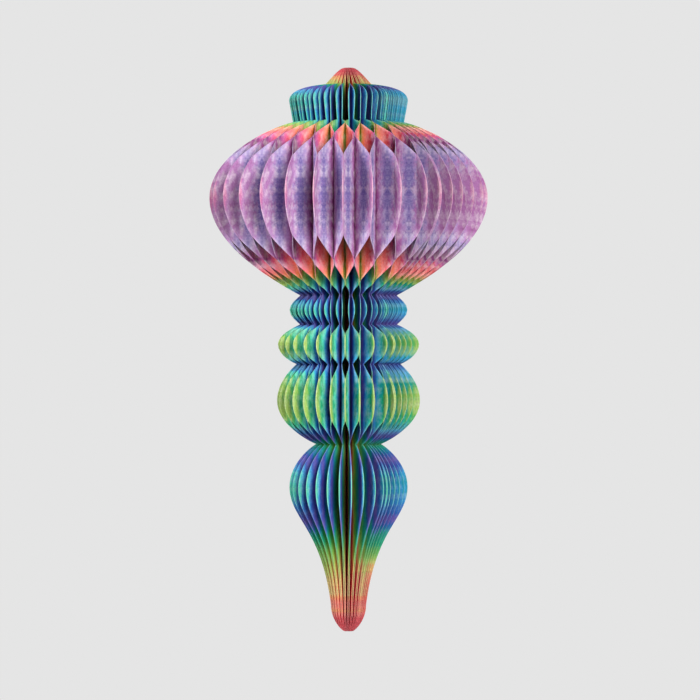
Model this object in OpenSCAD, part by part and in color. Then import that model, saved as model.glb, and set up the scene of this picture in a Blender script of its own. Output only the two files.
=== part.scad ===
// Hanging paper finial: printed leaves with one turned outline, glued to each other
// along upright strips at alternating radii, and fanned right round the axis so that
// the pull between the strips opens them into petal-shaped cells. A stiffer cover card
// closes each end of the stack, and the two covers stand back to back at the seam.
// Frame: origin at the hang point, on the axis at the very top. The front faces -Y.

/* [Sheets] */
// Number of printed leaves between the two cover cards
leaf_count = 58; // [38:2:58]
// Thickness of one printed leaf
paper_t = 0.2; // [0.15:0.05:0.3]
// Thickness of one cover card
cover_t = 0.4; // [0.3:0.1:1]
// Thickness of the glue film between two sheets
glue_t = 0.04; // [0.02:0.01:0.06]
// Gap left between the two cover cards
seam_gap = 0.2; // [0.1:0.1:0.8]

/* [Glue strips] */
// Radius where the innermost glue strip starts
strip_start_r = 19; // [18:0.5:20]
// Radial width of a glue strip
strip_w = 3.8; // [3:0.2:4.6]
// Radial distance from one glue strip to the next
strip_pitch = 15.7; // [15:0.1:16]

/* [Fan] */
// Direction of the seam between the covers, from the front towards +X
seam_azimuth = 40; // [0:5:90]
// How much narrower the cells beside the covers are
crowding = 0.47; // [0:0.01:0.6]
// How many cells the crowding reaches after the first cover
crowding_after = 2.65; // [0.5:0.05:4]
// How many cells the crowding reaches before the last cover
crowding_before = 0.9; // [0.5:0.05:4]
// How much wider the cells at the back are
back_slack = 0.24; // [0:0.01:0.4]
// Room between the leaves at the core, as a multiple of the tight stack
core_slack = 1.05; // [1.05:0.05:1.4]

/* [Dome] */
// Radius of the dome at its foot
dome_r = 12.8; // [11:0.2:15]
// Height of the dome
dome_h = 9.3; // [7:0.1:12]

/* [Collar] */
// Largest radius of the collar
collar_r = 32.2; // [31:0.2:33.4]
// Height of the collar's rounded shoulder
collar_shoulder_h = 8.6; // [6:0.2:12]
// Height of the whole collar
collar_h = 20.5; // [16:0.5:26]

/* [Lobe] */
// Radius of the neck between collar and lobe
collar_neck_r = 30; // [27:0.5:30.5]
// Largest radius of the lobe
lobe_r = 75.3; // [72:0.5:80]
// Height of the lobe from its top neck to its widest point
lobe_top_h = 40.6; // [30:0.5:50]
// Height of the whole lobe
lobe_h = 93.4; // [80:1:110]

/* [Ring] */
// Radius of the neck between lobe and ring
lobe_neck_r = 26.2; // [24:0.5:28]
// Largest radius of the ring
ring_r = 31.9; // [30:0.2:33]
// Height of the ring
ring_h = 15.8; // [12:0.5:20]

/* [Disc] */
// Radius of the neck between ring and disc
ring_neck_r = 26.4; // [24:0.5:28]
// Largest radius of the disc
disc_r = 38.2; // [34:0.2:42]
// Height of the disc
disc_h = 21.4; // [16:0.5:28]

/* [Bulb] */
// Radius of the neck between disc and bulb
disc_neck_r = 28.2; // [26:0.5:30]
// Largest radius of the bulb
bulb_r = 38.7; // [35:0.2:42]
// Height of the bulb from its top neck to its widest point
bulb_top_h = 19.7; // [15:0.5:24]
// Height of the whole bulb
bulb_h = 43.3; // [36:0.5:52]

/* [Drop] */
// Radius of the neck between bulb and drop
bulb_neck_r = 17.5; // [14:0.5:18]
// Largest radius of the drop
drop_r = 32.1; // [28:0.5:38]
// Height of the drop from its neck to its widest point
drop_top_h = 23.3; // [18:0.5:30]
// Height of the whole drop
drop_h = 101.3; // [85:1:120]
// Radius of the rounded tip
tip_r = 9.5; // [8:0.5:11]
// Height of the rounded tip
tip_h = 14; // [11:0.5:17]

/* [Hidden] */
// Depth of each neck, and of the tip, under the hang point
collar_z = -dome_h;
lobe_z = collar_z - collar_h;
ring_z = lobe_z - lobe_h;
disc_z = ring_z - ring_h;
bulb_z = disc_z - disc_h;
drop_z = bulb_z - bulb_h;
end_z = drop_z - drop_h;

// Where the stack beside a cover starts, measured across the seam
stack_start = seam_gap / 2 + cover_t + glue_t / 2;
sheet_step = paper_t + glue_t;
// Radius of the open core, which the inner edges of the leaves leave free
core_r = (2 * stack_start + leaf_count * sheet_step * core_slack) / (2 * PI);
// The bands are drawn this far past the largest radius and the ends, and cut back
overrun = 2;
band_r = lobe_r + overrun;

// A sheet leans from 0, against its valley neighbour, to 1, against its ridge neighbour
lean_at_neck = 0.24;
lean_at_collar = 0.45;
lean_at_rim = 0.52;
neck_margin = 1;

// Exponents of the swelling curves: 0.5 is an ellipse, 1 a parabola
lobe_top_swell = 0.8;
round_swell = 1;
ring_swell = 1.2;
full_swell = 0.88;
tip_swell = 0.82;

cell_count = leaf_count / 2;
// Cell, counted from the first cover, at the middle of the back, and how far its slack reaches
back_cell = cell_count * 0.39;
back_reach = cell_count * 0.21;
crowd_edge = 6;

function leaf_name(i) = str("leaf_", i < 10 ? "0" : "", i);

// A smooth step from 1 near zero to 0 past the reach
function fade(s, reach) = 1 / (1 + pow(s / reach, crowd_edge));

// Relative width of cell c, counted from the first cover round to the last
function cell_weight(c) = let (s = c + 0.5)
    1 - crowding * (fade(s, crowding_after) + fade(cell_count - s, crowding_before))
    + back_slack * fade(abs(s - back_cell), back_reach);
cell_edges = [for (c = 0, sum = 0; c <= cell_count; sum = sum + cell_weight(c), c = c + 1) sum];

// Contact m lies between sheet m and sheet m + 1. Even contacts are the ridges, where
// cells end, and odd contacts are the valleys, halfway between two ridges.
function rim_share(m) = (cell_edges[floor(m / 2)] + cell_edges[ceil(m / 2)])
    / (2 * cell_edges[cell_count]);
function rim_arc(m) = stack_start + (2 * PI * lobe_r - 2 * stack_start) * rim_share(m);
function core_arc(m) = stack_start + m * sheet_step * core_slack;
function contact_arc(m, r) = core_arc(m)
    + (rim_arc(m) - core_arc(m)) * (r - core_r) / (lobe_r - core_r);

// The middle of leaf i at radius r, as a point in plan
function leaf_point(i, r, lean) = let (
        low = contact_arc(i - 1, r) + sheet_step / 2,
        high = contact_arc(i, r) - sheet_step / 2,
        swing = i % 2 == 0 ? lean : 1 - lean,
        azimuth = seam_azimuth + (low + (high - low) * swing) / r * 180 / PI
    ) r * [sin(azimuth), -cos(azimuth)];

function strip_in(k) = strip_start_r + (k - 1) * strip_pitch;
function strip_out(k) = strip_in(k) + strip_w;

// Plans of a leaf, as pairs of radius and lean. They part company only past the necks,
// so that the leaf runs through from one storey of the outline to the next.
core_plan = [[core_r, 0.5], [strip_in(1), 0], [strip_out(1), 0]];
neck_plan = concat(core_plan, [
    [max(lobe_neck_r, ring_neck_r) + neck_margin, lean_at_neck],
    [collar_neck_r + neck_margin / 2, lean_at_collar],
    [collar_neck_r + neck_margin * 1.5, lean_at_rim]
]);
// The rim is free and spreads evenly
open_plan = concat(neck_plan, [[max(collar_r, ring_r) + overrun, lean_at_rim]]);
// Every strip holds, and the ridge pairs stay together out to the rim
glued_plan = concat(neck_plan, [
    [strip_in(2), 1], [strip_out(2), 1],
    [strip_in(3), 0], [strip_out(3), 0],
    [strip_in(4), 1], [band_r, 1]
]);
// The valley pairs stay together from the first strip outwards
paired_plan = concat(core_plan, [[drop_r + overrun, 0]]);

// Each storey of the outline: its top, its foot and the plan that a leaf follows there
STOREYS = [
    [overrun, lobe_z, open_plan],
    [lobe_z, ring_z, glued_plan],
    [ring_z, disc_z, open_plan],
    [disc_z, drop_z, glued_plan],
    [drop_z, end_z - overrun, paired_plan]
];

function bezier(a, b, c, d, n) = [for (k = [1:n]) let (t = k / n)
    pow(1 - t, 3) * a + 3 * t * pow(1 - t, 2) * b + 3 * t * t * (1 - t) * c + pow(t, 3) * d];

// Points from a neck out to the widest point, and back in to the next neck
function swell_out(neck, wide, power, n) = [for (k = [1:n]) let (a = 90 - 90 * k / n)
    [neck.x + (wide.x - neck.x) * pow(cos(a), 2 * power), wide.y + (neck.y - wide.y) * sin(a)]];
function swell_in(wide, neck, power, n) = [for (k = [1:n]) let (a = 90 * k / n)
    [neck.x + (wide.x - neck.x) * pow(cos(a), 2 * power), wide.y + (neck.y - wide.y) * sin(a)]];
function swell(top, wide, foot, power_top, power_foot, n) =
    concat(swell_out(top, wide, power_top, n), swell_in(wide, foot, power_foot, n));

dome_top = [core_r, 0];
dome_foot = [dome_r, collar_z];
collar_wide = [collar_r, collar_z - collar_shoulder_h];
collar_neck = [collar_neck_r, lobe_z];
lobe_wide = [lobe_r, lobe_z - lobe_top_h];
lobe_neck = [lobe_neck_r, ring_z];
ring_wide = [ring_r, ring_z - ring_h / 2];
ring_neck = [ring_neck_r, disc_z];
disc_wide = [disc_r, disc_z - disc_h / 2];
disc_neck = [disc_neck_r, bulb_z];
bulb_wide = [bulb_r, bulb_z - bulb_top_h];
bulb_neck = [bulb_neck_r, drop_z];
drop_wide = [drop_r, drop_z - drop_top_h];
tip_shoulder = [tip_r, end_z + tip_h];
flank_h = drop_wide.y - tip_shoulder.y;

// The turned outline that every sheet is die-cut to, from the core at the top to the tip
OUTLINE = concat(
    [[0, 0], dome_top],
    bezier(dome_top, dome_top + [dome_r / 5, 0], dome_foot + [-dome_r / 6, dome_h / 4], dome_foot, 4),
    bezier(dome_foot, [dome_r + (collar_r - dome_r) * 0.6, collar_z - collar_shoulder_h * 0.1],
        collar_wide + [0, collar_shoulder_h * 0.6], collar_wide, 5),
    [collar_neck],
    swell(collar_neck, lobe_wide, lobe_neck, lobe_top_swell, round_swell, 8),
    swell(lobe_neck, ring_wide, ring_neck, ring_swell, ring_swell, 3),
    swell(ring_neck, disc_wide, disc_neck, round_swell, full_swell, 3),
    swell(disc_neck, bulb_wide, bulb_neck, round_swell, full_swell, 5),
    swell_out(bulb_neck, drop_wide, full_swell, 4),
    bezier(drop_wide, drop_wide - [0, flank_h * 0.27],
        tip_shoulder + [tip_r * 0.55, flank_h * 0.66], tip_shoulder, 6),
    swell_in(tip_shoulder, [core_r, end_z], tip_swell, 5),
    [[0, end_z]]
);

// Offset of a polyline to one side, with mitred corners
function unit(v) = v / norm(v);
function side_of(v) = [-v.y, v.x];
function mitre(points, k) = let (
        last = len(points) - 1,
        before = side_of(unit(points[max(k, 1)] - points[max(k, 1) - 1])),
        after = side_of(unit(points[min(k, last - 1) + 1] - points[min(k, last - 1)])),
        middle = unit(before + after)
    ) middle / (middle * before);
function offset_line(points, d) = [for (k = [0:len(points) - 1]) points[k] + d * mitre(points, k)];
function band(points, t) = let (low = offset_line(points, -t / 2), high = offset_line(points, t / 2))
    concat(low, [for (k = [len(high) - 1:-1:0]) high[k]]);

// The die-cut outline as a cutter that reaches this far to each side of its direction
module die(azimuth, reach) {
    rotate([0, 0, azimuth - 90])
        rotate([90, 0, 0])
            linear_extrude(height = 2 * reach, center = true)
                polygon(OUTLINE);
}

// One printed leaf, zigzag in plan and cut to the outline
module leaf(i) {
    ridge = i % 2 == 0 ? i : i - 1;
    valley = i % 2 == 0 ? i - 1 : i;
    middle = seam_azimuth + (rim_arc(ridge) + rim_arc(valley)) / 2 / lobe_r * 180 / PI;
    color("#B58FC9")
        intersection() {
            union() {
                for (storey = STOREYS) {
                    line = [for (point = storey[2]) leaf_point(i, point[0], point[1])];
                    translate([0, 0, storey[1]])
                        linear_extrude(height = storey[0] - storey[1])
                            polygon(band(line, paper_t));
                }
            }
            die(middle, lobe_r / 4);
        }
}

// A flat cover card beside the seam, on the side of the first leaf or of the last
module cover(side) {
    inset = seam_gap / 2 + cover_t / 2;
    color("#E7C9D8")
        intersection() {
            rotate([0, 0, seam_azimuth - 90])
                translate([core_r, side * inset - cover_t / 2, end_z - overrun])
                    cube([band_r, cover_t, overrun * 2 - end_z]);
            die(seam_azimuth, cover_t + seam_gap);
        }
}

for (i = [1:leaf_count]) leaf(i);
cover(1);  // first_cover
cover(-1);  // last_cover
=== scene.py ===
"""Looks of the hanging paper finial: the fanned leaves, their print and the studio."""
import bisect
import math

import bpy
from bpy.props import FloatProperty, FloatVectorProperty, IntProperty, PointerProperty
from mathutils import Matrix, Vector


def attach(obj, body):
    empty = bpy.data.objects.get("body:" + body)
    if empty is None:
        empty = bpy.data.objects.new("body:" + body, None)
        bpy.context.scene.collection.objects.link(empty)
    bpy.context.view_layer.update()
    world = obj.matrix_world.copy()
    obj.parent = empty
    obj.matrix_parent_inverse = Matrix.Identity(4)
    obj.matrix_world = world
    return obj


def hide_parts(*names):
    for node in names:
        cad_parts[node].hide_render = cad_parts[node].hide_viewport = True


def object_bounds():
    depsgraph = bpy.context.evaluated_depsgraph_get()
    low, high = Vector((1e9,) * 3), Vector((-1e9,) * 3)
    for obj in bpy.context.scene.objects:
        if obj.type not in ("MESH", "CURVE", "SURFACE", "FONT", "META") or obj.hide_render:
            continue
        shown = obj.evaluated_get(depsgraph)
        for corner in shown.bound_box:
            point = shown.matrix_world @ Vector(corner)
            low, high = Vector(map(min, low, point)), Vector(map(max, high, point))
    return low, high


bl_info = {
    "name": "Paper Finial",
    "version": (1, 0, 0),
    "blender": (4, 5, 0),
    "location": "View3D > Sidebar > Finial",
    "description": "Builds a hanging finial of fanned, die-cut and printed paper leaves",
    "category": "Add Mesh",
}

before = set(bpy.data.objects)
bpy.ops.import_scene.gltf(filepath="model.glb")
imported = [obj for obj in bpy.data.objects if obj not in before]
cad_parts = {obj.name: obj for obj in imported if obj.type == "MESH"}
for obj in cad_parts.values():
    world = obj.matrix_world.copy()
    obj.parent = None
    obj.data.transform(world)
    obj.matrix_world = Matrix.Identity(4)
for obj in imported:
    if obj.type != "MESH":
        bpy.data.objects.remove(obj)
CAD_LOW, CAD_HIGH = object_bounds()
MM = 0.001
BODY = "root"
# Height of a row of the sheet meshes, and the widest and closest that their upright lines stand
MESH_ROW = 2.2 * MM
MESH_WIDEST = 4 * MM
MESH_CLOSEST = 0.45 * MM
# Radius where the lobe's end of the sheet was folded for dyeing, so that the print's clouds and
# stripe mirror each other on its two sides
DYE_FOLD_R = 61.9 * MM
# How far the bands of the print wander with the height, from one end to the other, and the half
# width of the widest stripe
WANDER = 4 * MM
STRIPE_HALF = 4 * MM


def linear(code):
    """An sRGB hex colour, such as "C8A0D0", as a linear RGB triple."""
    values = [int(code[k:k + 2], 16) / 255 for k in (0, 2, 4)]
    return tuple(v / 12.92 if v <= 0.04045 else ((v + 0.055) / 1.055) ** 2.4 for v in values)


def length(name, description, default_mm):
    """A size in the settings, given in millimetres and kept in metres."""
    return FloatProperty(name=name, description=description, default=default_mm * MM,
                         min=0.0, unit="LENGTH", precision=5)


def colour(name, description, code):
    """A colour in the settings, given as an sRGB hex code and kept linear."""
    return FloatVectorProperty(name=name, description=description, default=linear(code),
                               size=3, min=0.0, max=1.0, subtype="COLOR")


class FinialSheets(bpy.types.PropertyGroup):
    """The stack of sheets and the way it is glued and fanned."""
    leaf_count: IntProperty(name="Leaves", description="Printed leaves between the covers",
                            default=sum(n.startswith("leaf_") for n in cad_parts), min=4)
    paper: length("Paper", "Thickness of a printed leaf", 0.2)
    cover: length("Cover", "Thickness of a cover card", 0.4)
    glue: length("Glue", "Thickness of the glue film between two sheets", 0.04)
    seam_gap: length("Seam gap", "Gap between the two cover cards", 0.2)
    strip_start: length("First strip", "Radius where the innermost glue strip starts", 19)
    strip_width: length("Strip width", "Radial width of a glue strip", 3.8)
    strip_pitch: length("Strip pitch", "Radial distance between glue strips", 15.7)
    seam_azimuth: FloatProperty(name="Seam", description="Direction of the seam, from the front",
                                default=math.radians(40), subtype="ANGLE")
    crowding: FloatProperty(name="Crowding", description="How much narrower the cells beside "
                            "the covers are", default=0.47, min=0, max=0.6)
    crowding_after: FloatProperty(name="Crowded after", description="Cells that the crowding "
                                  "reaches after the first cover", default=2.65, min=0.5)
    crowding_before: FloatProperty(name="Crowded before", description="Cells that the crowding "
                                   "reaches before the last cover", default=0.9, min=0.5)
    back_slack: FloatProperty(name="Back slack", description="How much wider the cells at the "
                              "back are", default=0.24, min=0)
    core_slack: FloatProperty(name="Core slack", description="Room between the leaves at the "
                              "core, as a multiple of the tight stack", default=1.05, min=1)


class FinialOutline(bpy.types.PropertyGroup):
    """The turned outline that every sheet is cut to."""
    dome_r: length("Dome radius", "Radius of the dome at its foot", 12.8)
    dome_h: length("Dome height", "Height of the dome", 9.3)
    collar_r: length("Collar radius", "Largest radius of the collar", 32.2)
    collar_shoulder_h: length("Collar shoulder", "Height of the collar's shoulder", 8.6)
    collar_h: length("Collar height", "Height of the whole collar", 20.5)
    collar_neck_r: length("Collar neck", "Radius between collar and lobe", 30)
    lobe_r: length("Lobe radius", "Largest radius of the lobe", 75.3)
    lobe_top_h: length("Lobe top", "Height of the lobe above its widest point", 40.6)
    lobe_h: length("Lobe height", "Height of the whole lobe", 93.4)
    lobe_neck_r: length("Lobe neck", "Radius between lobe and ring", 26.2)
    ring_r: length("Ring radius", "Largest radius of the ring", 31.9)
    ring_h: length("Ring height", "Height of the ring", 15.8)
    ring_neck_r: length("Ring neck", "Radius between ring and disc", 26.4)
    disc_r: length("Disc radius", "Largest radius of the disc", 38.2)
    disc_h: length("Disc height", "Height of the disc", 21.4)
    disc_neck_r: length("Disc neck", "Radius between disc and bulb", 28.2)
    bulb_r: length("Bulb radius", "Largest radius of the bulb", 38.7)
    bulb_top_h: length("Bulb top", "Height of the bulb above its widest point", 19.7)
    bulb_h: length("Bulb height", "Height of the whole bulb", 43.3)
    bulb_neck_r: length("Bulb neck", "Radius between bulb and drop", 17.5)
    drop_r: length("Drop radius", "Largest radius of the drop", 32.1)
    drop_top_h: length("Drop top", "Height of the drop above its widest point", 23.3)
    drop_h: length("Drop height", "Height of the whole drop", 101.3)
    tip_r: length("Tip radius", "Radius of the rounded tip", 9.5)
    tip_h: length("Tip height", "Height of the rounded tip", 14)


class FinialPrint(bpy.types.PropertyGroup):
    """Colours of the dyed print, from the core out to the rim."""
    crimson: colour("Crimson", "Red at the core and at the back of the lobe's ends", "C83C48")
    salmon: colour("Salmon", "Salmon round the core", "E07E70")
    orange: colour("Orange", "Orange outside the salmon", "E09460")
    gold: colour("Gold", "Gold outside the orange", "D4BC78")
    lime: colour("Lime", "Pale yellow green at the rims of disc and bulb", "A0BC5C")
    grass: colour("Grass", "Grass green inside the lime", "5CA654")
    green: colour("Green", "Deep green on both sides of the blue", "12966E")
    teal: colour("Teal", "Teal beside the blue", "088A8C")
    blue: colour("Blue", "Deep blue beside the violet", "2A56A6")
    violet: colour("Violet", "Violet at the necks", "5C4A9C")
    azure: colour("Azure", "Azure outside the necks", "3694C4")
    aqua: colour("Aqua", "Aqua at the rims of ring and drop", "4CBEAC")
    sea_green: colour("Sea green", "Sea green at the rim of the collar", "52C098")
    olive: colour("Olive", "Olive line along the second strip", "8A8C28")
    peach: colour("Peach", "Peach beside the olive", "EE9A70")
    coral: colour("Coral", "Coral of the lobe's ends", "EC8480")
    rose: colour("Rose", "Rose outside the coral", "DE5C76")
    raspberry: colour("Raspberry", "Raspberry between rose and mauve", "C4649A")
    # Plum is partly a dye line and partly painted shade of the valley crease at the third strip
    plum_and_crease_shade: colour("Plum", "Dark plum along the third strip", "6C2E66")
    berry: colour("Berry", "Purple dabs on the mauve", "964E88")
    mauve: colour("Mauve", "Mauve of the petals' fronts", "AC7EAC")
    orchid: colour("Orchid", "Deeper mauve of the petals' backs", "A66EA2")
    lavender: colour("Lavender", "Pale lavender beside the petals' stripe", "A696BE")
    indigo: colour("Indigo", "Blue violet stripe down the petals", "645692")
    rim_pink: colour("Rim pink", "Pink along the lobe's rim", "C87CA2")
    paper: colour("Paper", "Unprinted paper, seen at the cut edges", "F1EBE6")


# Radius in millimetres and colour of each dyed band, on the two sides of a sheet. The bands
# along the third glue strip are the same on both. There the sheets meet in the valley crease, and
# the berry to plum bands darken towards it: partly a dye line, partly painted crease shade.
THIRD_STRIP_BANDS = ((50.5, "raspberry"), (52.3, "berry"), (53.7, "plum_and_crease_shade"), (55, "berry"))
FRONT_BANDS = (
    (0, "crimson"), (7.4, "crimson"), (9, "salmon"), (10, "orange"), (10.8, "gold"),
    (14.5, "lime"), (17, "grass"), (19.3, "green"), (21.5, "teal"), (23.3, "blue"),
    (25.5, "violet"), (28.3, "blue"), (30.2, "azure"), (31.5, "aqua"), (32.6, "sea_green"),
    (33.4, "green"), (34.9, "grass"), (36, "lime"), (38.2, "lime"), (39, "olive"),
    (41.3, "peach"), (44.5, "coral"), (48, "rose"), *THIRD_STRIP_BANDS,
    (57.5, "mauve"), (61.9, "lavender"), (66, "mauve"), (73.2, "mauve"), (75, "rim_pink"))
BACK_BANDS = (
    (0, "crimson"), (10.4, "crimson"), (12.3, "salmon"), (13.4, "orange"), (14.1, "gold"),
    (15, "lime"), (16.8, "grass"), (19, "green"), (21.5, "teal"), (24, "blue"),
    (26, "violet"), (28.7, "blue"), (30.9, "azure"), (33.3, "teal"), (34.9, "green"),
    (35.9, "grass"), (37, "lime"), (38.3, "lime"), (39, "olive"), (40, "gold"),
    (41.5, "peach"), (44.5, "coral"), (47.5, "crimson"), *THIRD_STRIP_BANDS,
    (57.5, "orchid"), (61.9, "lavender"), (66, "orchid"), (73.2, "orchid"), (75, "rim_pink"))
# Height in millimetres and a share between 0 and 1: at 0 the colours lie WANDER / 2 further in
# than their bands say, at 0.5 just there, and at 1 as far further out
BAND_WANDER = ((-2, 0.3), (-8, 0.4), (-14, 0.26), (-28, 0.26), (-40, 0.5), (-116, 0.5),
               (-124, 0.36), (-135, 0.36), (-142, 0.54), (-158, 0.54), (-170, 0.64),
               (-183, 0.64), (-194, 0.1), (-201, 0.1), (-210, 0.4), (-245, 0.4),
               (-275, 0.5), (-300, 0.5))
# Height in millimetres and half width of the stripe where the lobe was folded for dyeing
FRONT_STRIPE = ((-44, 0.3), (-50, 1.6), (-56, 1.7), (-61, 0.8), (-65, 3.2), (-75, 2.9),
                (-88, 1.9), (-97, 0.3))
BACK_STRIPE = ((-45, 0.3), (-51, 2.2), (-57, 3.3), (-65, 3.1), (-69.5, 1.0), (-73, 2.9),
               (-78, 2.6), (-82, 1.1), (-92, 0.8), (-98, 0.2))


class FinialStudio(bpy.types.PropertyGroup):
    """Background, lamps and camera."""
    background: colour("Background", "Flat colour behind the finial", "E5E5E5")
    camera_distance: length("Camera distance", "From the axis to the camera", 1788)
    camera_height: FloatProperty(name="Camera height", description="Height of the lens, from "
                                 "the hang point", default=-152.8 * MM, unit="LENGTH")
    floor_colour: colour("Floor", "Pale card of the floor", "B8B8B8")
    camera_side: length("Camera side", "How far right of the axis the camera stands", 0.8)
    view_width: length("View width", "Width of the picture at the axis", 379.2)
    floor_drop: length("Floor drop", "From the tip down to the floor", 200)
    lamp_size: length("Lamp size", "Side of each square lamp", 1000)
    key: FloatProperty(name="Key lamp", description="Power of the key lamp", default=50,
                       min=0, unit="POWER")
    fill: FloatProperty(name="Fill lamp", description="Power of the fill lamp", default=42,
                        min=0, unit="POWER")
    back: FloatProperty(name="Back lamp", description="Power of the back lamp", default=26,
                       min=0, unit="POWER")
    ambient: FloatProperty(name="Ambient", description="Strength of the light from all round",
                           default=0.07, min=0)


def bezier(a, b, c, d, steps):
    """Points of a cubic curve after its start."""
    points = []
    for k in range(1, steps + 1):
        t = k / steps
        w = ((1 - t) ** 3, 3 * t * (1 - t) ** 2, 3 * t * t * (1 - t), t ** 3)
        points.append(tuple(sum(w[i] * p[axis] for i, p in enumerate((a, b, c, d)))
                            for axis in (0, 1)))
    return points


def swell(neck, wide, power, steps, outwards):
    """Points from a neck out to the widest point, or from there in to the neck."""
    points = []
    for k in range(1, steps + 1):
        angle = math.radians(90 - 90 * k / steps if outwards else 90 * k / steps)
        bulge = max(math.cos(angle), 0) ** (2 * power)
        points.append((neck[0] + (wide[0] - neck[0]) * bulge,
                       wide[1] + (neck[1] - wide[1]) * math.sin(angle)))
    return points


def storeys(o, core_r, row):
    """The outline, storey by storey, as lists of (radius, height) with the plan's name."""
    collar_z = -o.dome_h
    lobe_z = collar_z - o.collar_h
    ring_z = lobe_z - o.lobe_h
    disc_z = ring_z - o.ring_h
    bulb_z = disc_z - o.disc_h
    drop_z = bulb_z - o.bulb_h
    end_z = drop_z - o.drop_h
    apex, dome_foot = (core_r, 0.0), (o.dome_r, collar_z)
    collar_wide = (o.collar_r, collar_z - o.collar_shoulder_h)
    collar_neck, lobe_wide = (o.collar_neck_r, lobe_z), (o.lobe_r, lobe_z - o.lobe_top_h)
    lobe_neck, ring_wide = (o.lobe_neck_r, ring_z), (o.ring_r, ring_z - o.ring_h / 2)
    ring_neck, disc_wide = (o.ring_neck_r, disc_z), (o.disc_r, disc_z - o.disc_h / 2)
    disc_neck, bulb_wide = (o.disc_neck_r, bulb_z), (o.bulb_r, bulb_z - o.bulb_top_h)
    bulb_neck, drop_wide = (o.bulb_neck_r, drop_z), (o.drop_r, drop_z - o.drop_top_h)
    shoulder = (o.tip_r, end_z + o.tip_h)
    flank_h = drop_wide[1] - shoulder[1]

    def steps(a, b):
        return max(3, round(1.2 * math.dist(a, b) / row))

    dome = [apex] + bezier(apex, (core_r + o.dome_r / 5, 0),
                           (o.dome_r * 5 / 6, collar_z + o.dome_h / 4), dome_foot,
                           steps(apex, dome_foot))
    collar = bezier(dome_foot, (o.dome_r + (o.collar_r - o.dome_r) * 0.6,
                                collar_z - o.collar_shoulder_h * 0.1),
                    (o.collar_r, collar_wide[1] + o.collar_shoulder_h * 0.6), collar_wide,
                    steps(dome_foot, collar_wide))
    count = steps(collar_wide, collar_neck)
    for k in range(1, count + 1):
        t = k / count
        collar.append((collar_wide[0] + (collar_neck[0] - collar_wide[0]) * t,
                       collar_wide[1] + (collar_neck[1] - collar_wide[1]) * t))

    def bulge(top, wide, foot, power_top, power_foot):
        return (swell(top, wide, power_top, steps(top, wide), True)
                + swell(foot, wide, power_foot, steps(wide, foot), False))

    lobe = bulge(collar_neck, lobe_wide, lobe_neck, 0.8, 1.0)
    ring = bulge(lobe_neck, ring_wide, ring_neck, 1.2, 1.2)
    disc = bulge(ring_neck, disc_wide, disc_neck, 1.0, 0.88)
    bulb = bulge(disc_neck, bulb_wide, bulb_neck, 1.0, 0.88)
    drop = (swell(bulb_neck, drop_wide, 0.88, steps(bulb_neck, drop_wide), True)
            + bezier(drop_wide, (o.drop_r, drop_wide[1] - flank_h * 0.27),
                     (o.tip_r * 1.55, shoulder[1] + flank_h * 0.66), shoulder,
                     steps(drop_wide, shoulder))
            + swell((core_r, end_z), shoulder, 0.82, 2 * steps(shoulder, (core_r, end_z)), False))
    return [(dome + collar, "open"), (lobe, "glued"), (ring, "open"),
            (disc + bulb, "glued"), (drop, "paired")]


class CreasedLine:
    """A line through points, straight between them and rounded at each, as paper bends."""

    def __init__(self, points, bend):
        self.points, self.bend = points, bend
        self.slopes = [(b[1] - a[1]) / (b[0] - a[0]) for a, b in zip(points, points[1:])]

    def at(self, x):
        k = bisect.bisect_right([p[0] for p in self.points[1:-1]], x)
        for corner in (k, k + 1):
            if 0 < corner < len(self.slopes) and abs(x - self.points[corner][0]) < self.bend:
                start, after = self.slopes[corner - 1:corner + 1]
                d = x - self.points[corner][0]
                return (self.points[corner][1] + (start + after) / 2 * d
                        + (after - start) * (d * d + self.bend ** 2) / (4 * self.bend))
        return self.points[k][1] + self.slopes[k] * (x - self.points[k][0])


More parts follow.
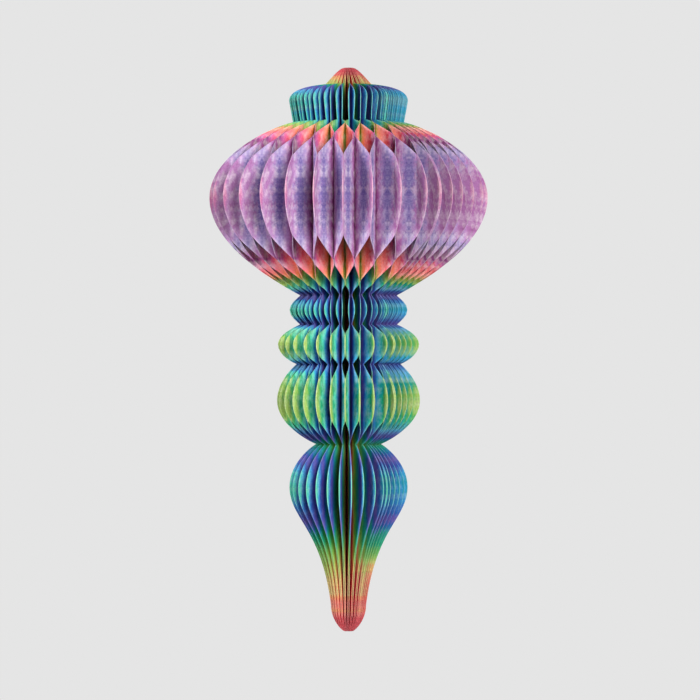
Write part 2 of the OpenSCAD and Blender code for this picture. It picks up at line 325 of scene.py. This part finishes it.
class Fan:
    """Where each sheet of the fan runs in plan."""
    # The cell in the middle of the back, and how far its slack reaches, as shares of all cells
    BACK_CELL, BACK_REACH = 0.39, 0.21
    # Distance to the two points from which a sheet's direction is taken
    NEAR = 0.02 * MM

    def __init__(self, sheets, outline):
        self.s, self.o = sheets, outline
        self.cells = sheets.leaf_count // 2
        self.step = sheets.paper + sheets.glue
        self.start = sheets.seam_gap / 2 + sheets.cover + sheets.glue / 2
        self.core_r = ((2 * self.start + sheets.leaf_count * self.step * sheets.core_slack)
                       / (2 * math.pi))
        self.edges = [0.0]
        for cell in range(self.cells):
            self.edges.append(self.edges[-1] + self.cell_weight(cell))
        self.bend = 0.8 * MM
        self.plans = {name: CreasedLine(points, self.bend)
                      for name, points in self.make_plans().items()}

    def cell_weight(self, cell):
        """Relative width of a cell, counted from the first cover round to the last."""
        s, place = self.s, cell + 0.5

        def fade(distance, reach):
            return 1 / (1 + (distance / reach) ** 6)

        crowd = fade(place, s.crowding_after) + fade(self.cells - place, s.crowding_before)
        back = fade(abs(place - self.cells * self.BACK_CELL), self.cells * self.BACK_REACH)
        return 1 - s.crowding * crowd + s.back_slack * back

    def contact_arc(self, contact, r):
        """Arc from the seam to a contact, between tight at the core and spread at the rim."""
        low, high = self.edges[contact // 2], self.edges[(contact + 1) // 2]
        rim = (self.start + (2 * math.pi * self.o.lobe_r - 2 * self.start)
               * (low + high) / 2 / self.edges[-1])
        core = self.start + contact * self.step * self.s.core_slack
        return core + (rim - core) * (r - self.core_r) / (self.o.lobe_r - self.core_r)

    def strip(self, k):
        """The radii where glue strip k starts and ends."""
        start = self.s.strip_start + (k - 1) * self.s.strip_pitch
        return start, start + self.s.strip_width

    def make_plans(self):
        """How far a sheet leans at each radius: 0 is its valley side, and 1 its ridge side."""
        o, margin = self.o, 1.0 * MM
        core = [(self.core_r, 0.5), (self.strip(1)[0], 0), (self.strip(1)[1], 0)]
        neck = core + [(max(o.lobe_neck_r, o.ring_neck_r) + margin, 0.24),
                       (o.collar_neck_r + margin / 2, 0.45), (o.collar_neck_r + margin * 1.5, 0.52)]
        beyond = 2 * MM
        glued = neck + [(self.strip(2)[0], 1), (self.strip(2)[1], 1), (self.strip(3)[0], 0),
                        (self.strip(3)[1], 0), (self.strip(4)[0], 1), (o.lobe_r + beyond, 1)]
        return {"open": neck + [(max(o.collar_r, o.ring_r) + beyond, 0.52)],
                "glued": glued, "paired": core + [(o.drop_r + beyond, 0)]}

    def leaf_point(self, i, r, plan):
        low = self.contact_arc(i - 1, r) + self.step / 2
        high = self.contact_arc(i, r) - self.step / 2
        lean = self.plans[plan].at(r)
        swing = lean if i % 2 == 0 else 1 - lean
        azimuth = self.s.seam_azimuth + (low + (high - low) * swing) / r
        return Vector((r * math.sin(azimuth), -r * math.cos(azimuth)))

    def leaf(self, i):
        """A function that gives a leaf's middle and its normal in plan."""
        def place(r, plan):
            before, after = (self.leaf_point(i, r + d, plan) for d in (-self.NEAR, self.NEAR))
            along = (after - before).normalized()
            return (before + after) / 2, Vector((-along.y, along.x))
        return place

    def cover(self, side):
        """The same for a flat cover card, on one side of the seam or the other."""
        azimuth = self.s.seam_azimuth
        along = Vector((math.sin(azimuth), -math.cos(azimuth)))
        across = Vector((math.cos(azimuth), math.sin(azimuth)))
        inset = side * (self.s.seam_gap + self.s.cover) / 2

        def place(r, plan):
            return along * r + across * inset, Vector((-along.y, along.x))
        return place

    def columns(self):
        """Radii of the mesh's upright lines: three at each bend, and some in between."""
        bends = {p[0] for line in self.plans.values() for p in line.points[1:-1]}
        wanted = sorted({x + d for x in bends for d in (-self.bend, 0, self.bend)}
                        | {self.core_r, self.o.lobe_r + 1 * MM})
        radii = [self.core_r]
        for r in wanted:
            gap = r - radii[-1]
            if gap > MESH_CLOSEST:
                count = math.ceil(gap / MESH_WIDEST)
                radii += [r - gap * (count - k) / count for k in range(1, count + 1)]
        return radii


def sheet_mesh(name, place, thickness, rows, columns):
    """A sheet cut to the outline. Its front is slot 0, its back slot 1, its cut edge slot 2."""
    vertices, grid = [], []
    for r_out, z, plan in rows:
        last = min(bisect.bisect_left(columns, r_out - 1e-7), len(columns) - 1)
        line = []
        for j in range(last + 1):
            r = min(columns[j], r_out)
            middle, normal = place(r, plan)
            line.append(len(vertices))
            for side in (0.5, -0.5):
                p = middle + normal * (side * thickness)
                vertices.append((p.x, p.y, z))
        grid.append(line + [line[-1]] * (len(columns) - 1 - last))
    faces, slots = [], []

    def add(corners, slot):
        unique = [v for k, v in enumerate(corners) if v not in corners[:k]]
        if len(unique) > 2:
            faces.append(unique)
            slots.append(slot)

    for upper, lower in zip(grid, grid[1:]):
        for j in range(len(columns) - 1):
            add((upper[j], lower[j], lower[j + 1], upper[j + 1]), 0)
            add((upper[j] + 1, upper[j + 1] + 1, lower[j + 1] + 1, lower[j] + 1), 1)
        add((upper[-1], lower[-1], lower[-1] + 1, upper[-1] + 1), 2)
        add((upper[0], upper[0] + 1, lower[0] + 1, lower[0]), 2)
    mesh = bpy.data.meshes.new(name)
    mesh.from_pydata(vertices, [], faces)
    mesh.polygons.foreach_set("material_index", slots)
    mesh.polygons.foreach_set("use_smooth", [True] * len(faces))
    mesh.validate()
    mesh.update()
    mesh.set_sharp_from_angle(angle=math.radians(50))
    piece = bpy.data.objects.new(name, mesh)
    bpy.context.scene.collection.objects.link(piece)
    return piece


def add_node(tree, kind, settings=None, links=None):
    """Adds a node, sets its properties, and fills its inputs with values or with outputs."""
    node = tree.nodes.new(kind)
    for key, value in (settings or {}).items():
        setattr(node, key, value)
    for key, value in (links or {}).items():
        if isinstance(value, bpy.types.NodeSocket):
            tree.links.new(value, node.inputs[key])
        else:
            node.inputs[key].default_value = value
    return node


def set_ramp(node, stops, interpolation="LINEAR"):
    """Fills a colour ramp with (place, colour) stops."""
    ramp = node.color_ramp
    ramp.interpolation = interpolation
    while len(ramp.elements) > 1:
        ramp.elements.remove(ramp.elements[-1])
    for k, (place, value) in enumerate(stops):
        element = ramp.elements[0] if k == 0 else ramp.elements.new(place)
        element.position = place
        element.color = (*value, 1.0)


def print_colour(tree, colours, outline, bands, stripe, seed):
    """The dyed print, the same on every sheet: bands by radius, clouded by wet bleeding."""
    place = add_node(tree, "ShaderNodeTexCoord").outputs["Object"]
    axes = add_node(tree, "ShaderNodeSeparateXYZ", links={0: place}).outputs
    flat = add_node(tree, "ShaderNodeCombineXYZ", links={"X": axes["X"], "Y": axes["Y"]})

    def maths(operation, first, second):
        node = add_node(tree, "ShaderNodeMath", {"operation": operation}, {0: first, 1: second})
        return node.outputs[0]

    def remap(value, low, high, to_low, to_high):
        return add_node(tree, "ShaderNodeMapRange", {"clamp": True}, {
            "Value": value, "From Min": low, "From Max": high,
            "To Min": to_low, "To Max": to_high}).outputs[0]

    radius = add_node(tree, "ShaderNodeVectorMath", {"operation": "LENGTH"},
                      {0: flat.outputs[0]}).outputs["Value"]
    from_fold = maths("ABSOLUTE", maths("SUBTRACT", radius, DYE_FOLD_R), 0.0)
    sheet = add_node(tree, "ShaderNodeCombineXYZ", links={"X": from_fold, "Y": axes["Z"]})

    def clouds(size_mm, stretch, detail, offset):
        """Noise on the flat sheet, with clouds of a real size, longer upright by stretch."""
        scaled = add_node(tree, "ShaderNodeMapping", links={
            "Vector": sheet.outputs[0],
            "Location": (seed + offset, seed * 0.37 - offset, 0.0),
            "Scale": (1 / (size_mm * MM), 1 / (size_mm * stretch * MM), 1.0)})
        return add_node(tree, "ShaderNodeTexNoise", {"noise_dimensions": "2D"}, {
            "Vector": scaled.outputs[0], "Scale": 1.0, "Detail": detail,
            "Roughness": 0.55}).outputs["Fac"]

    def blend(factor, first, second, mode="MIX"):
        return add_node(tree, "ShaderNodeMix", {"data_type": "RGBA", "blend_type": mode},
                        {0: factor, 6: first, 7: second}).outputs[2]

    def by_height(stops, most):
        """A value between 0 and 1 that follows (height in mm, value up to most) stops."""
        low, high = stops[-1][0], stops[0][0]
        ramp = add_node(tree, "ShaderNodeValToRGB",
                        links={"Fac": remap(axes["Z"], low * MM, high * MM, 0.0, 1.0)})
        set_ramp(ramp, [((mm - low) / (high - low), (value / most,) * 3)
                        for mm, value in reversed(stops)], "B_SPLINE")
        return ramp.outputs["Color"]

    drift = remap(clouds(9, 2.2, 2.0, 3.1), 0.25, 0.75, -1.1 * MM, 1.1 * MM)
    bleed = remap(clouds(1.5, 3.5, 2.0, 7.7), 0.25, 0.75, -0.8 * MM, 0.8 * MM)
    wander = maths("MULTIPLY", maths("SUBTRACT", 0.5, by_height(BAND_WANDER, 1.0)), WANDER)
    shifted = maths("ADD", maths("ADD", radius, drift), maths("ADD", bleed, wander))
    ramp = add_node(tree, "ShaderNodeValToRGB",
                    links={"Fac": maths("DIVIDE", shifted, outline.lobe_r)})
    set_ramp(ramp, [(mm * MM / outline.lobe_r, getattr(colours, name)) for mm, name in bands])
    dyed = ramp.outputs["Color"]

    # The stripe runs down the middle of the petals, between pale margins
    half_width = maths("MULTIPLY", by_height(stripe, STRIPE_HALF / MM), STRIPE_HALF)
    ragged = remap(clouds(2.2, 1.3, 4.0, 1.3), 0.3, 0.7, -1.5 * MM, 1.5 * MM)
    inside = maths("ADD", ragged, maths("SUBTRACT", half_width, from_fold))
    dabs = maths("MULTIPLY", remap(clouds(5.0, 1.5, 3.0, 4.1), 0.45, 0.7, 0.0, 0.6),
                 remap(radius, 48 * MM, 52 * MM, 0.0, 1.0))
    dyed = blend(dabs, dyed, (*colours.berry, 1))
    margin = maths("MULTIPLY", remap(inside, -4.5 * MM, -1.0 * MM, 0.0, 1.0),
                   remap(clouds(2.0, 1.5, 2.0, 6.1), 0.35, 0.65, 0.0, 0.7))
    dyed = blend(margin, dyed, (*colours.lavender, 1))
    wash = maths("MULTIPLY", remap(clouds(3.4, 1.4, 3.0, 5.9), 0.42, 0.75, 0.0, 0.4),
                 remap(radius, 24 * MM, 45 * MM, 0.1, 1.0))
    dyed = blend(wash, dyed, (*colours.paper, 1))
    depth = maths("MULTIPLY", remap(inside, -1.8 * MM, 1.8 * MM, 0.0, 1.0),
                  remap(clouds(1.4, 0.9, 2.0, 8.3), 0.3, 0.65, 0.62, 0.95))
    dyed = blend(depth, dyed, (*colours.indigo, 1))
    grain = remap(clouds(0.8, 1.2, 2.0, 9.3), 0.3, 0.7, 0.88, 1.08)
    grey = add_node(tree, "ShaderNodeCombineColor",
                    links={"Red": grain, "Green": grain, "Blue": grain})
    return blend(1.0, dyed, grey.outputs[0], "MULTIPLY"), clouds


def new_material(name):
    material = bpy.data.materials.new(name)
    material.use_nodes = True
    tree = material.node_tree
    tree.nodes.clear()
    return material, tree


def printed_paper(name, colours, outline, bands, stripe, seed):
    """Uncoated dyed paper: matt, with a faint tooth and the clouded colour of wet dye.

    Real fibres are too fine to show at this distance, so the tooth is drawn at 0.5 mm and the
    print's grain at 0.8 mm, about the size of a pixel.
    """
    material, tree = new_material(name)
    base, clouds = print_colour(tree, colours, outline, bands, stripe, seed)
    tooth = add_node(tree, "ShaderNodeBump", links={
        "Height": clouds(0.5, 1.0, 3.0, 2.2), "Strength": 0.12, "Distance": 0.05 * MM})
    shader = add_node(tree, "ShaderNodeBsdfPrincipled", links={
        "Base Color": base, "Roughness": 0.75, "IOR": 1.45, "Specular IOR Level": 0.25,
        "Normal": tooth.outputs[0]})
    add_node(tree, "ShaderNodeOutputMaterial", links={"Surface": shader.outputs[0]})
    return material


def cut_edge(name, colours, outline, paleness):
    """The die-cut edge of the sheet: bare fibres that the dye has partly soaked."""
    material, tree = new_material(name)
    base, _ = print_colour(tree, colours, outline, FRONT_BANDS, FRONT_STRIPE, 0.0)
    pale = add_node(tree, "ShaderNodeMix", {"data_type": "RGBA"}, {
        0: paleness, 6: base, 7: (*colours.paper, 1)})
    shader = add_node(tree, "ShaderNodeBsdfPrincipled", links={
        "Base Color": pale.outputs[2], "Roughness": 0.9, "IOR": 1.45,
        "Specular IOR Level": 0.2})
    add_node(tree, "ShaderNodeOutputMaterial", links={"Surface": shader.outputs[0]})
    return material


def sheet_materials(kind, colours, outline, paleness):
    """The front, the back and the cut edge of a sheet, in the order of its slots."""
    return (printed_paper(f"dyed_{kind}_front", colours, outline, FRONT_BANDS, FRONT_STRIPE, 0.0),
            printed_paper(f"dyed_{kind}_back", colours, outline, BACK_BANDS, BACK_STRIPE, 31.7),
            cut_edge(f"die_cut_{kind}_edge", colours, outline, paleness))


def settings():
    scene = bpy.context.scene
    return scene.finial_sheets, scene.finial_outline, scene.finial_print, scene.finial_studio


def outline_rows(outline, core_r, row):
    """Every row of the mesh, from the top: its outer radius, its height and its plan."""
    return [(r, z, plan) for points, plan in storeys(outline, core_r, row) for r, z in points]


class FINIAL_OT_leaves(bpy.types.Operator):
    """Makes the printed leaves, bent from glue strip to glue strip"""
    bl_idname = "finial.leaves"
    bl_label = "Printed leaves"

    def execute(self, context):
        sheets, outline, colours, _ = settings()
        fan = Fan(sheets, outline)
        rows = outline_rows(outline, fan.core_r, MESH_ROW)
        columns = fan.columns()
        materials = sheet_materials("paper", colours, outline, 0.1)
        for i in range(1, sheets.leaf_count + 1):
            leaf = sheet_mesh(f"printed_leaf_{i:02d}", fan.leaf(i), sheets.paper, rows, columns)
            for material in materials:
                leaf.data.materials.append(material)
            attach(leaf, BODY)
            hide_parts(f"leaf_{i:02d}")
        return {"FINISHED"}


class FINIAL_OT_covers(bpy.types.Operator):
    """Makes the two stiff cover cards at the seam"""
    bl_idname = "finial.covers"
    bl_label = "Cover cards"

    def execute(self, context):
        sheets, outline, colours, _ = settings()
        fan = Fan(sheets, outline)
        rows = outline_rows(outline, fan.core_r, MESH_ROW)
        materials = sheet_materials("board", colours, outline, 0.05)
        for side, node in ((1, "first_cover"), (-1, "last_cover")):
            cover = sheet_mesh(f"{node}_card", fan.cover(side), sheets.cover, rows, fan.columns())
            for material in materials:
                cover.data.materials.append(material)
            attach(cover, BODY)
            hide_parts(node)
        return {"FINISHED"}


def backdrop_shader(tree, shader, background):
    """Shows the flat background to the camera and in reflections, and the shader elsewhere."""
    path = add_node(tree, "ShaderNodeLightPath").outputs
    seen = add_node(tree, "ShaderNodeMath", {"operation": "MAXIMUM"},
                    {0: path["Is Camera Ray"], 1: path["Is Glossy Ray"]})
    seen = add_node(tree, "ShaderNodeMath", {"operation": "MAXIMUM"},
                    {0: seen.outputs[0], 1: path["Is Transmission Ray"]})
    flat = add_node(tree, "ShaderNodeBackground",
                    links={"Color": (*background, 1), "Strength": 1.0})
    return add_node(tree, "ShaderNodeMixShader",
                    links={0: seen.outputs[0], 1: shader.outputs[0], 2: flat.outputs[0]})


class FINIAL_OT_stage(bpy.types.Operator):
    """Sets up the pale floor, the background, the lamps and the camera"""
    bl_idname = "finial.stage"
    bl_label = "Studio"

    def execute(self, context):
        studio = settings()[3]
        scene = context.scene
        self.floor(scene, studio)
        self.world(scene, studio)
        self.lamps(scene, studio)
        self.camera(scene, studio)
        scene.view_settings.view_transform = "Standard"
        return {"FINISHED"}

    def floor(self, scene, studio):
        """A round of pale studio card below the tip, wider than the finial's shadow."""
        z, radius, sides = CAD_LOW.z - studio.floor_drop, 0.9, 96
        ring = [(radius * math.cos(2 * math.pi * k / sides),
                 radius * math.sin(2 * math.pi * k / sides), z) for k in range(sides)]
        mesh = bpy.data.meshes.new("studio_floor")
        mesh.from_pydata(ring, [], [list(range(sides))])
        material, tree = new_material("pale_studio_card")
        shader = add_node(tree, "ShaderNodeBsdfPrincipled", links={
            "Base Color": (*studio.floor_colour, 1), "Roughness": 1.0,
            "Specular IOR Level": 0.0})
        add_node(tree, "ShaderNodeOutputMaterial", links={"Surface": shader.outputs[0]})
        mesh.materials.append(material)
        floor = bpy.data.objects.new("studio_floor", mesh)
        scene.collection.objects.link(floor)

    def world(self, scene, studio):
        """A little even light from all round, behind which the camera sees the background."""
        world = bpy.data.worlds.new("studio")
        world.use_nodes = True
        tree = world.node_tree
        tree.nodes.clear()
        light = add_node(tree, "ShaderNodeBackground",
                         links={"Color": (1, 1, 1, 1), "Strength": studio.ambient})
        mixed = backdrop_shader(tree, light, studio.background)
        add_node(tree, "ShaderNodeOutputWorld", links={"Surface": mixed.outputs[0]})
        scene.world = world

    def lamps(self, scene, studio):
        """A key lamp right of the front, a fill lamp at the left and a lamp for the back."""
        centre = (CAD_LOW + CAD_HIGH) / 2
        for name, power, place in (
                ("key_lamp", studio.key, Vector((0.72, -1.65, 0.6))),
                ("fill_lamp", studio.fill, Vector((-1.6, -0.95, 0.0))),
                ("back_lamp", studio.back, Vector((-0.5, 1.6, 0.7)))):
            data = bpy.data.lights.new(name, "AREA")
            data.energy = power
            data.size = studio.lamp_size
            lamp = bpy.data.objects.new(name, data)
            lamp.location = centre + place
            lamp.rotation_euler = (-place).to_track_quat("-Z", "Y").to_euler()
            scene.collection.objects.link(lamp)

    def camera(self, scene, studio):
        """Level with the middle of the finial, far off, as the photograph was taken."""
        data = bpy.data.cameras.new("camera")
        data.sensor_width = 36
        data.lens = data.sensor_width * studio.camera_distance / studio.view_width
        camera = bpy.data.objects.new("camera", data)
        camera.location = (studio.camera_side, -studio.camera_distance, studio.camera_height)
        camera.rotation_euler = (math.radians(90), 0, 0)
        scene.collection.objects.link(camera)
        scene.camera = camera


class FINIAL_PT_panel(bpy.types.Panel):
    """Lists the finial's settings and its builders"""
    bl_idname = "FINIAL_PT_panel"
    bl_label = "Paper Finial"
    bl_space_type = "VIEW_3D"
    bl_region_type = "UI"
    bl_category = "Finial"

    def draw(self, context):
        for group in settings():
            box = self.layout.box()
            box.label(text=type(group).__name__)
            for name in type(group).__annotations__:
                box.prop(group, name)
        for operator in OPERATORS:
            self.layout.operator(operator.bl_idname)


GROUPS = {"finial_sheets": FinialSheets, "finial_outline": FinialOutline,
          "finial_print": FinialPrint, "finial_studio": FinialStudio}
OPERATORS = (FINIAL_OT_stage, FINIAL_OT_leaves, FINIAL_OT_covers)
CLASSES = (*GROUPS.values(), *OPERATORS, FINIAL_PT_panel)


def register():
    for cls in CLASSES:
        bpy.utils.register_class(cls)
    for name, group in GROUPS.items():
        setattr(bpy.types.Scene, name, PointerProperty(type=group))


def unregister():
    for name in GROUPS:
        delattr(bpy.types.Scene, name)
    for cls in reversed(CLASSES):
        bpy.utils.unregister_class(cls)


def main():
    register()
    bpy.ops.finial.stage()
    bpy.ops.finial.leaves()
    bpy.ops.finial.covers()


if __name__ == "__main__":
    main()
